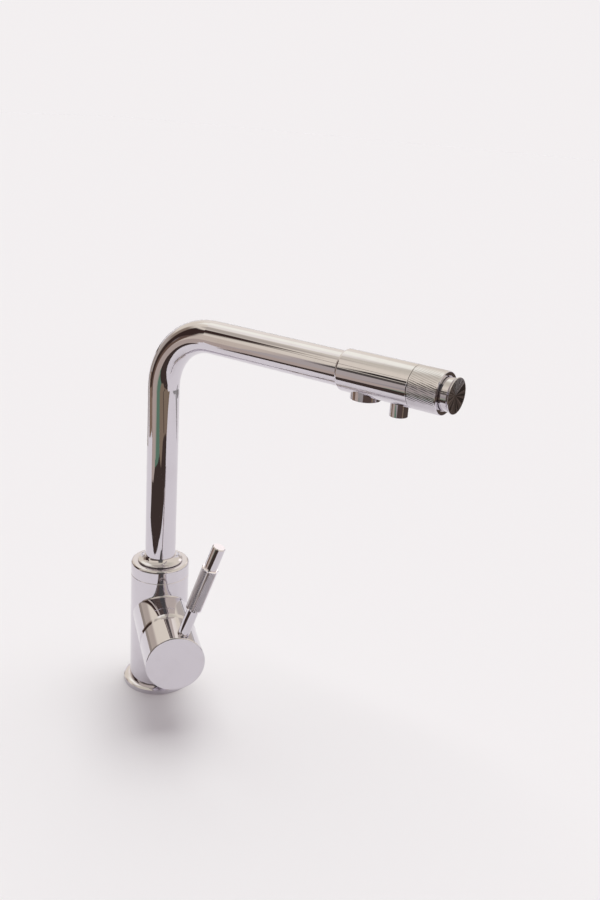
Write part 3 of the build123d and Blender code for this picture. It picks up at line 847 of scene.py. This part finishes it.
class FAUCET_OT_knob_ring(Operator):
    """Cuts the fine slanted flutes of the knob's ring"""

    bl_idname = "faucet.knob_ring"
    bl_label = "Knob ring"

    def execute(self, context):
        scene = context.scene
        knurl = scene.faucet_knurl
        back, front = RING_BOX[0].x, RING_BOX[1].x
        back_edge = 0.0002
        front_edge = 0.0005
        # Middle of the rounded front edge, in from the wall and from the front
        front_round = 0.3 * front_edge
        # The flutes stop just short of both edges
        margin = 0.0001
        start = back + back_edge + margin
        end = front - front_edge - margin
        # Recess that the end cap sits in, web behind it, boss and hole for the spindle, outer wall
        recess_r = 0.0119
        recess_floor = front - 0.0012
        web_back = front - 0.0042
        boss_r = 0.007
        boss_back = front - 0.0135
        hole_r = 0.0043
        wall_r = RING_R - 0.0019
        # One row of points for each column that a flute turns over, so that it follows the diagonals
        columns = 6
        rows = round(knurl.ring_twist * columns)
        outline = [(RING_R - back_edge, back), (RING_R, back + back_edge)]
        outline += [(RING_R, between(start, end, row / rows)) for row in range(rows + 1)]
        outline += [
            (RING_R, front - front_edge),
            (RING_R - front_round, front - front_round),
            (RING_R - front_edge, front),
            (recess_r, front),
            (recess_r, recess_floor),
            (hole_r, recess_floor),
            (hole_r, boss_back),
            (boss_r, boss_back),
            (boss_r, web_back),
            (wall_r, web_back),
            (wall_r, back),
        ]
        blank = lathed("ring_blank", outline, columns * knurl.ring_round)
        # Fluted plating, with lighter painted shade in its flutes
        plating = chrome("chrome_ring", scene.faucet_chrome, clean=0.05, grain=120.0, grooves=0.25)
        values = {
            "Radius": RING_R,
            "Start": start,
            "End": end,
            "Depth": knurl.ring_depth,
            "Width": knurl.ring_width,
            "Round": knurl.ring_round,
            "Along": knurl.ring_twist,
            "Cross": 0.0,
            "Material": plating,
        }
        ring = knurled("knob_ring_fluted", blank, values, ON_HEAD_AXIS)
        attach(ring, "filter_knob")
        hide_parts("knob_ring")
        return {"FINISHED"}


class FAUCET_OT_end_cap(Operator):
    """Turns the knob's neck and its thin dished disc"""

    bl_idname = "faucet.end_cap"
    bl_label = "Knob end"

    def execute(self, context):
        back, face = CAP_BOX[0].x, CAP_BOX[1].x
        neck_r = 0.0113
        neck_end = face - 0.0021
        bore_r = 0.0095
        bore_end = face - 0.0026
        # How far each point of the rim lies inside the cap's radius and behind its face
        rim = ((0.0003, 0.0008), (0.0, 0.0005), (0.0, 0.00025), (0.0002, 0.0))
        outline = [(bore_r, back), (neck_r, back), (neck_r, neck_end)]
        outline += [(CAP_R - inset, face - behind) for inset, behind in rim]
        # Face falls in a shallow round dish inside its lip
        lip = 0.0006
        lip_fall = 0.00005
        dish_depth = 0.0009
        dish_curve = 1.4
        rows = 10
        for row in range(rows + 1):
            share = 1 - row / rows
            fall = lip_fall + dish_depth * (1 - share**dish_curve)
            outline.append(((CAP_R - lip) * share, face - fall))
        outline += [(0.0, bore_end), (bore_r, bore_end)]
        mesh = lathed("end_cap_turned", outline, columns=96)
        centre = (CAP_BOX[0] + CAP_BOX[1]) / 2
        # Spun plating, with painted sheen and shade in fans on the dish
        plating = spun_chrome(
            "chrome_spun", context.scene.faucet_chrome, centre, pitch=0.00022, fan_radius=0.0112
        )
        mesh.materials.append(plating)
        cap = settled("end_cap_turned", mesh, ON_HEAD_AXIS, CAP_SHARP)
        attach(cap, "filter_knob")
        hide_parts("knob_end_cap")
        return {"FINISHED"}


# Stage

# How far the table top and the sheets round it reach
FAR = 12.0


def card(name, corners, colour, lift):
    """Flat sheet of the room round the table that only polished metal mirrors."""
    mesh = bpy.data.meshes.new(name)
    mesh.from_pydata([Vector((x, y, lift)) for x, y in corners], [], [range(len(corners))])
    material, _, _ = blank_material(name, "ShaderNodeEmission", Color=(*colour, 1), Strength=1.0)
    material.cycles.emission_sampling = "NONE"
    mesh.materials.append(material)
    sheet = new_object(name, mesh)
    for way in ("camera", "diffuse", "transmission", "volume_scatter", "shadow"):
        setattr(sheet, "visible_" + way, False)


def sector(low, high, near):
    """Corners of the floor between two directions in degrees, from a distance outwards."""
    steps = 4
    turns = [math.radians(between(low, high, step / steps)) for step in range(steps + 1)]
    corners = [(near * math.cos(turn), near * math.sin(turn)) for turn in turns]
    return corners + [(FAR * math.cos(turn), FAR * math.sin(turn)) for turn in reversed(turns)]


# Step by which each sheet beyond the table's edge lies higher than the one before it
CARD_LIFT = 0.0002
# Table's edge as polished metal shows it, from the left round the front to the far side
EDGE_LEFT = [
    (-0.90, -0.13), (-0.62, -0.205), (-0.56, -0.34), (-0.52, -0.45), (-0.42, -0.50), (-0.28, -0.33),
]
EDGE_FRONT = [
    (-0.25, -0.262), (-0.12, -0.28), (-0.04, -0.265), (0.15, -0.262), (0.23, -0.235), (0.45, -0.188),
]
EDGE_RIGHT = [(0.62, -0.225), (0.78, -0.18), (0.86, -0.11), (0.90, -0.05)]
EDGE_FAR = [
    (0.91, 0.2), (0.78, 0.41), (0.70, 0.53), (0.60, 0.66), (0.48, 0.75), (0.24, 0.81), (0.02, 0.87),
]
# Outer bounds of the dark strip along the front edge, and of the grey one along the far edge
STRIP_RIGHT = [(0.60, -0.32), (0.52, -0.42), (0.44, -0.47), (0.30, -0.44), (0.21, -0.55)]
STRIP_LEFT = [(-0.03, -0.54), (-0.12, -0.52), (-0.20, -0.43), (-0.28, -0.40)]
STRIP_FAR = [
    (0.97, -0.05), (0.98, 0.2), (0.86, 0.5), (0.74, 0.68), (0.55, 0.84), (0.30, 0.91), (0.05, 0.97),
]
# Corners that two sheets share
LEFT_CORNERS = [(-FAR, -FAR), (-0.6, -0.6)]
FRONT_CORNERS = [(-0.2, -0.9), (-1.0, -FAR)]
# Colours that more than one sheet or part of the room has
MAUVE = (0.53, 0.48, 0.45)
BEIGE = (0.74, 0.65, 0.54)
DARK = (0.05, 0.03, 0.024)
# Sheets that polished metal mirrors: corners in metres from the column's axis, and colour
SHEETS = {
    "mauve": (
        EDGE_LEFT[4:] + EDGE_FRONT[:1] + STRIP_LEFT[:0:-1] + FRONT_CORNERS + LEFT_CORNERS,
        (0.55, 0.46, 0.40),
    ),
    "brown": (EDGE_LEFT[:5] + LEFT_CORNERS[::-1] + [(-FAR, 0.9)], (0.28, 0.20, 0.145)),
    "green": (
        [STRIP_LEFT[1], STRIP_LEFT[0], STRIP_RIGHT[-1], (0.5, -FAR)] + FRONT_CORNERS[::-1],
        (0.14, 0.25, 0.175),
    ),
    "sage": ([(-0.06, -0.56), (-0.14, -0.56), (-0.21, -0.9), (-0.1, -0.9)], (0.42, 0.41, 0.33)),
    "beige": (
        STRIP_RIGHT[::-1] + EDGE_RIGHT + [(FAR, -0.5), (FAR, -FAR), (0.5, -FAR)],
        (0.27, 0.205, 0.145),
    ),
    "stand": ([(0.50, -0.46), (0.54, -0.42), (0.62, -0.68), (0.55, -0.70)], (0.11, 0.08, 0.06)),
    "strip": (EDGE_FRONT + EDGE_RIGHT[:1] + STRIP_RIGHT + STRIP_LEFT, (0.062, 0.044, 0.037)),
    "far_grey": (EDGE_RIGHT[-1:] + EDGE_FAR + STRIP_FAR[::-1], (0.33, 0.32, 0.31)),
    "far_dark": (STRIP_FAR + [(-0.4, 2.6), (FAR, FAR), (FAR, -0.5)], (0.09, 0.068, 0.055)),
    "far_left": ([(0.0, 1.4), (-0.2, 2.6), (-FAR, 2.6), (-1.6, 1.0)], (0.08, 0.07, 0.065)),
    "wedge": (
        [(0.17, 0.60), (0.32, 0.645), (0.50, 0.72), (0.48, 0.76), (0.30, 0.77), (0.17, 0.68)],
        (0.38, 0.37, 0.36),
    ),
    "low_mauve": (sector(-126, -111, 1.1), MAUVE),
    "low_beige": (sector(-134, -125, 1.5), BEIGE),
    "low_brown": (sector(-145, -134, 0.85), (0.17, 0.11, 0.08)),
    "low_dark": (sector(-163, -145, 0.95), (0.055, 0.036, 0.028)),
    "low_left": (sector(-180, -163, 1.5), (0.50, 0.44, 0.39)),
    "low_side": (sector(163, 180, 0.6), (0.38, 0.33, 0.28)),
    "low_front": (sector(-112, -68, 0.97), (0.42, 0.39, 0.38)),
    "low_right": (sector(-68, -12, 0.98), (0.105, 0.075, 0.065)),
}
# Top of the backdrop that polished metal mirrors, and the tones of wall and ceiling above it: the
# height of each is the sine of its elevation
BACKDROP_TOP = 0.10
ROOM_TONES = ((0.25, (0.93, 0.86, 0.72)), (0.72, (0.97, 0.90, 0.75)), (0.88, (0.74, 0.70, 0.58)))
# Parts of the room that polished metal mirrors: middle and half width round the room, lowest and
# highest elevation, softness (all in degrees) and colour
ROOM = {
    "window": (148, 20, 38, 62, 6.0, (1.26, 1.27, 1.11)),
    "ceiling_edge": (134, 10, 18, 36, 5.0, (1.06, 1.0, 0.90)),
    "far_wall": (111, 5, -15, 22, 2.0, (0.58, 0.53, 0.48)),
    "lamp": (108, 7, 25, 34, 3.0, (1.45, 1.38, 1.3)),
    "ceiling_dim": (-157, 12, 43, 54, 3.0, (0.60, 0.55, 0.47)),
    "ceiling_light": (172, 14, 50, 60, 4.0, (1.15, 1.12, 1.02)),
    "left": (170, 8, -6, 14, 3.0, (0.56, 0.49, 0.42)),
    "left_brown": (-167, 14, -6, 33, 6.0, (0.34, 0.27, 0.21)),
    "left_low": (-174, 8, -6, 10, 3.0, (0.50, 0.45, 0.40)),
    "front": (-85, 28, -12, 33, 3.0, (0.15, 0.12, 0.10)),
    "wall_beige": (-131, 8, -14, 14, 2.0, BEIGE),
    "wall_mauve": (-117, 8, -14, 14, 2.0, MAUVE),
    "strip": (-117, 6, 17.5, 26, 0.8, (0.05, 0.045, 0.04)),
    "strip_low": (-117, 6, 5.5, 15.5, 0.8, (0.10, 0.09, 0.08)),
    "rail": (-130, 16, 31.5, 33, 0.6, (0.20, 0.17, 0.15)),
    "dark": (-148, 14, 4, 36, 2.5, DARK),
    "dark_top": (-141, 5, 30, 42, 2.0, DARK),
    "dark_low": (-153, 9, -14, 7, 2.0, DARK),
    "brown_low": (-139, 5, -14, 6, 2.0, (0.14, 0.09, 0.07)),
    "right_dark": (-45, 17, -14, 60, 3.0, (0.125, 0.125, 0.12)),
}
# Camera's place and directions, fitted to edges measured in the photograph
CAMERA_PLACE = Vector((0.51617547, -0.56077362, 0.48430492))
CAMERA_RIGHT = Vector((0.81116428, 0.58114192, 0.06547198))
CAMERA_UP = Vector((-0.24429515, 0.23499903, 0.94079505))
CAMERA_SENSOR = 36.0


class FAUCET_OT_stage(Operator):
    """Sets the floor, the room, the light and the camera"""

    bl_idname = "faucet.stage"
    bl_label = "Stage"

    def execute(self, context):
        scene = context.scene
        stage = scene.faucet_stage
        self.floor(stage)
        self.room()
        self.world(scene, stage)
        self.light(stage)
        self.camera(scene, stage)
        scene.view_settings.view_transform = "Standard"
        return {"FINISHED"}

    def floor(self, stage):
        """Pale table top."""
        mesh = bpy.data.meshes.new("floor")
        corners = [(-FAR, -FAR, 0), (FAR, -FAR, 0), (FAR, FAR, 0), (-FAR, FAR, 0)]
        mesh.from_pydata(corners, [], [(0, 1, 2, 3)])
        material, _, _ = blank_material(
            "floor_pale", "ShaderNodeBsdfDiffuse", Color=(*stage.pale, 1)
        )
        mesh.materials.append(material)
        floor = new_object("floor", mesh)

    def room(self):
        """What the polished metal mirrors beyond the table's edge."""
        for order, (name, (corners, colour)) in enumerate(SHEETS.items(), start=1):
            card("edge_" + name, corners, colour, CARD_LIFT * order)

    def world(self, scene, stage):
        """Plain backdrop for the camera, the room for polished metal, and an even light."""
        world = bpy.data.worlds.new("room")
        world.use_nodes = True
        tree = world.node_tree
        tree.nodes.clear()
        rays = tree.nodes.new("ShaderNodeLightPath").outputs
        mirrored = maths(tree, "MAXIMUM", rays["Is Glossy Ray"], rays["Is Transmission Ray"])
        even = self.background(tree, (*stage.ambient, 1))
        seen = self.background(tree, self.mirrored_room(tree, stage))
        plain = self.background(tree, (*stage.pale, 1))
        lit = mixed_shader(tree, mirrored, even, seen)
        final = mixed_shader(tree, rays["Is Camera Ray"], lit, plain)
        feed(tree, final, tree.nodes.new("ShaderNodeOutputWorld").inputs[0])
        scene.world = world

    def background(self, tree, colour):
        """World shader of a plain colour or of a colour's socket."""
        return add(tree, "ShaderNodeBackground", Color=colour, Strength=1.0).outputs[0]

    def mirrored_room(self, tree, stage):
        """Colour of the room in each direction."""
        view = tree.nodes.new("ShaderNodeTexCoord").outputs["Generated"]
        x, y, z = add(tree, "ShaderNodeSeparateXYZ", Vector=view).outputs
        ramp = tree.nodes.new("ShaderNodeValToRGB")
        feed(tree, z, ramp.inputs[0])
        stops = ramp.color_ramp.elements
        stops.remove(stops[1])
        stops[0].position = BACKDROP_TOP
        stops[0].color = (*stage.pale, 1)
        for position, tone in ROOM_TONES:
            stops.new(position).color = (*tone, 1)
        turn = maths(tree, "DEGREES", maths(tree, "ARCTAN2", y, x))
        rise = maths(tree, "DEGREES", maths(tree, "ARCSINE", z))
        colour = ramp.outputs[0]
        for part in ROOM.values():
            colour = self.part_of_room(tree, turn, rise, colour, part)
        return colour

    def part_of_room(self, tree, turn, rise, under, part):
        """Lays one soft-edged part of the room over the colour under it."""
        middle, half, low, high, soft, colour = part
        aside = maths(tree, "WRAP", maths(tree, "SUBTRACT", turn, middle), 180, -180)
        away = maths(tree, "ABSOLUTE", aside)
        edges = (
            (away, half + soft, half - soft),
            (rise, low - soft, low + soft),
            (rise, high + soft, high - soft),
        )
        side, bottom, top = (
            ranged(tree, value, outside, inside, interpolation_type="SMOOTHSTEP")
            for value, outside, inside in edges
        )
        cover = maths(tree, "MULTIPLY", maths(tree, "MULTIPLY", side, bottom), top)
        return mixed(tree, cover, under, (*colour, 1))

    def light(self, stage):
        """One very soft lamp, high behind the faucet, that polished metal doesn't mirror."""
        data = bpy.data.lights.new("window", "SUN")
        data.energy = stage.key_strength
        data.angle = stage.key_spread
        data.color = stage.key
        lamp = new_object("window", data)
        turn, rise = stage.key_turn, stage.key_rise
        level = math.cos(rise)
        towards = Vector((math.cos(turn) * level, math.sin(turn) * level, math.sin(rise)))
        lamp.rotation_mode = "QUATERNION"
        lamp.rotation_quaternion = towards.to_track_quat("Z", "Y")
        lamp.visible_glossy = False

    def camera(self, scene, stage):
        """Camera at the photograph's place."""
        data = bpy.data.cameras.new("camera")
        data.sensor_fit = "AUTO"
        data.sensor_width = CAMERA_SENSOR
        data.lens = stage.lens
        data.clip_start = 0.01
        data.clip_end = 100.0
        camera = new_object("camera", data)
        back = CAMERA_RIGHT.cross(CAMERA_UP)
        turned = Matrix((CAMERA_RIGHT, CAMERA_UP, back)).transposed().to_4x4()
        camera.matrix_world = Matrix.Translation(CAMERA_PLACE) @ turned
        scene.camera = camera


class FAUCET_PT_panel(Panel):
    """Shows the faucet's settings and a button for each step"""

    bl_idname = "FAUCET_PT_panel"
    bl_label = "Kitchen faucet"
    bl_space_type = "VIEW_3D"
    bl_region_type = "UI"
    bl_category = "Faucet"

    def draw(self, context):
        for name in GROUPS:
            settings = getattr(context.scene, name)
            column = self.layout.column(align=True)
            for key in settings.__annotations__:
                column.prop(settings, key)
        for operator in STEPS:
            self.layout.operator(operator.bl_idname)


STEPS = (
    FAUCET_OT_plating,
    FAUCET_OT_inner_pieces,
    FAUCET_OT_lever_grip,
    FAUCET_OT_knob_ring,
    FAUCET_OT_end_cap,
    FAUCET_OT_stage,
)
GROUPS = {
    "faucet_chrome": FaucetChrome,
    "faucet_knurl": FaucetKnurl,
    "faucet_lever": FaucetLever,
    "faucet_stage": FaucetStage,
}


def register():
    """Makes the settings, the operators and the panel known."""
    for name, group in GROUPS.items():
        bpy.utils.register_class(group)
        setattr(bpy.types.Scene, name, PointerProperty(type=group))
    for operator in STEPS:
        bpy.utils.register_class(operator)
    bpy.utils.register_class(FAUCET_PT_panel)


def unregister():
    """Takes them back."""
    bpy.utils.unregister_class(FAUCET_PT_panel)
    for operator in reversed(STEPS):
        bpy.utils.unregister_class(operator)
    for name, group in GROUPS.items():
        delattr(bpy.types.Scene, name)
        bpy.utils.unregister_class(group)


def main():
    """Builds everything."""
    register()
    bpy.ops.faucet.plating()
    bpy.ops.faucet.inner_pieces()
    bpy.ops.faucet.lever_grip()
    bpy.ops.faucet.knob_ring()
    bpy.ops.faucet.end_cap()
    bpy.ops.faucet.stage()


if __name__ == "__main__":
    main()
